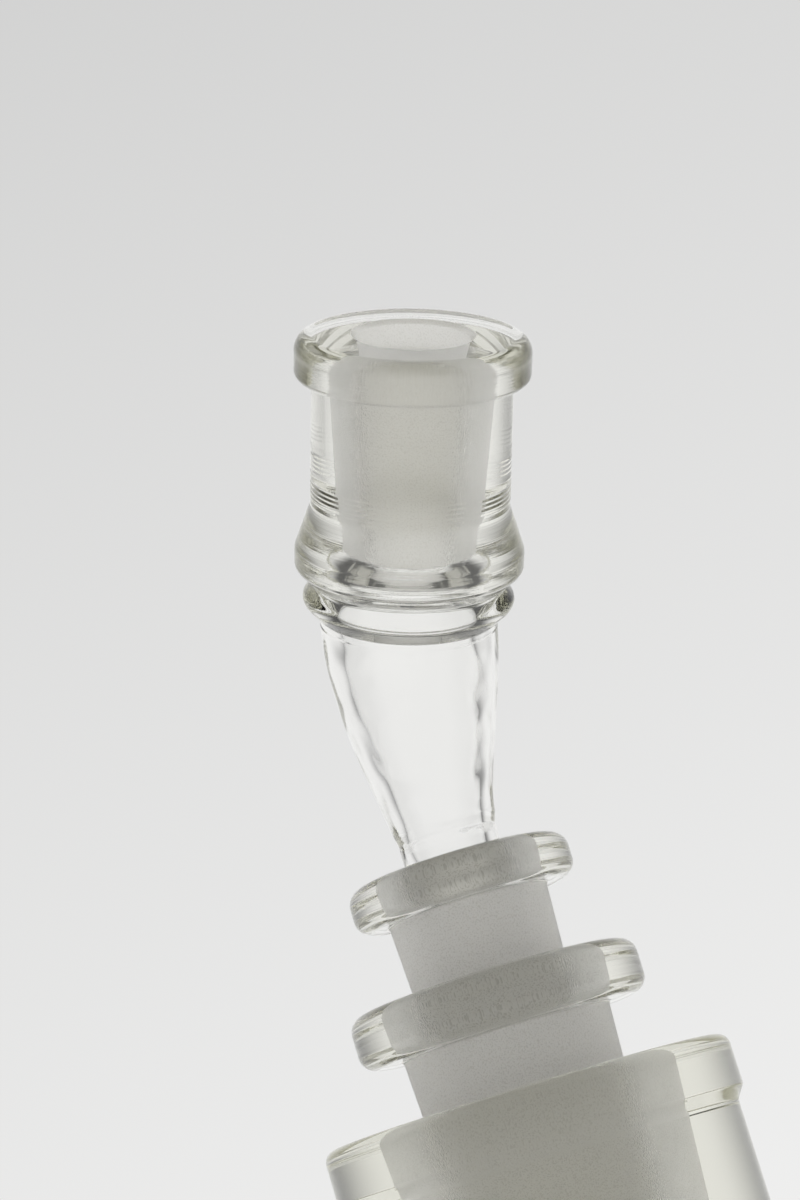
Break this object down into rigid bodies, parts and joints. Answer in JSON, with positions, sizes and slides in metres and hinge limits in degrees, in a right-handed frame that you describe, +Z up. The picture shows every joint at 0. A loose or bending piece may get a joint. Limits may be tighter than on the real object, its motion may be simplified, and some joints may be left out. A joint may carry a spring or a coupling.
{
  "type": "ground glass joint stack with bent adapter",
  "caption": "Thick-walled tapered socket holding nested reducing bushings and a bent glass adapter with a small ground socket, all open right through.",
  "frame": {"origin": "centre of the base socket's flat lower end, on the axis of the stack", "axes": "+Z up the axis of the stack; +X the way the bent adapter leans at rest"},
  "size_m": [0.0461, 0.0368, 0.1091],
  "materials": {
    "clear_glass": "fire-polished clear borosilicate",
    "ground_glass": "fine ground matt borosilicate"
  },
  "bodies": {
    "base": {"base_socket": "clear_glass"},
    "medium": {"medium_bushing": "ground_glass"},
    "small": {"small_bushing": "ground_glass"},
    "adapter": {"neck_cone": "ground_glass", "neck_tube": "clear_glass", "knuckle_ring": "clear_glass", "upper_socket": "clear_glass"}
  },
  "joints": [
    {"name": "medium_lift", "type": "slide", "parent": "base", "child": "medium", "axis": [0, 0, 1], "range_m": [0, 0.025]},
    {"name": "small_swivel", "type": "hinge", "parent": "medium", "child": "small", "pos_m": [0, 0, 0.0504], "axis": [0, 0, 1], "continuous": true},
    {"name": "adapter_lift", "type": "slide", "parent": "small", "child": "adapter", "axis": [0, 0, 1], "range_m": [0, 0.0245]}
  ]
}
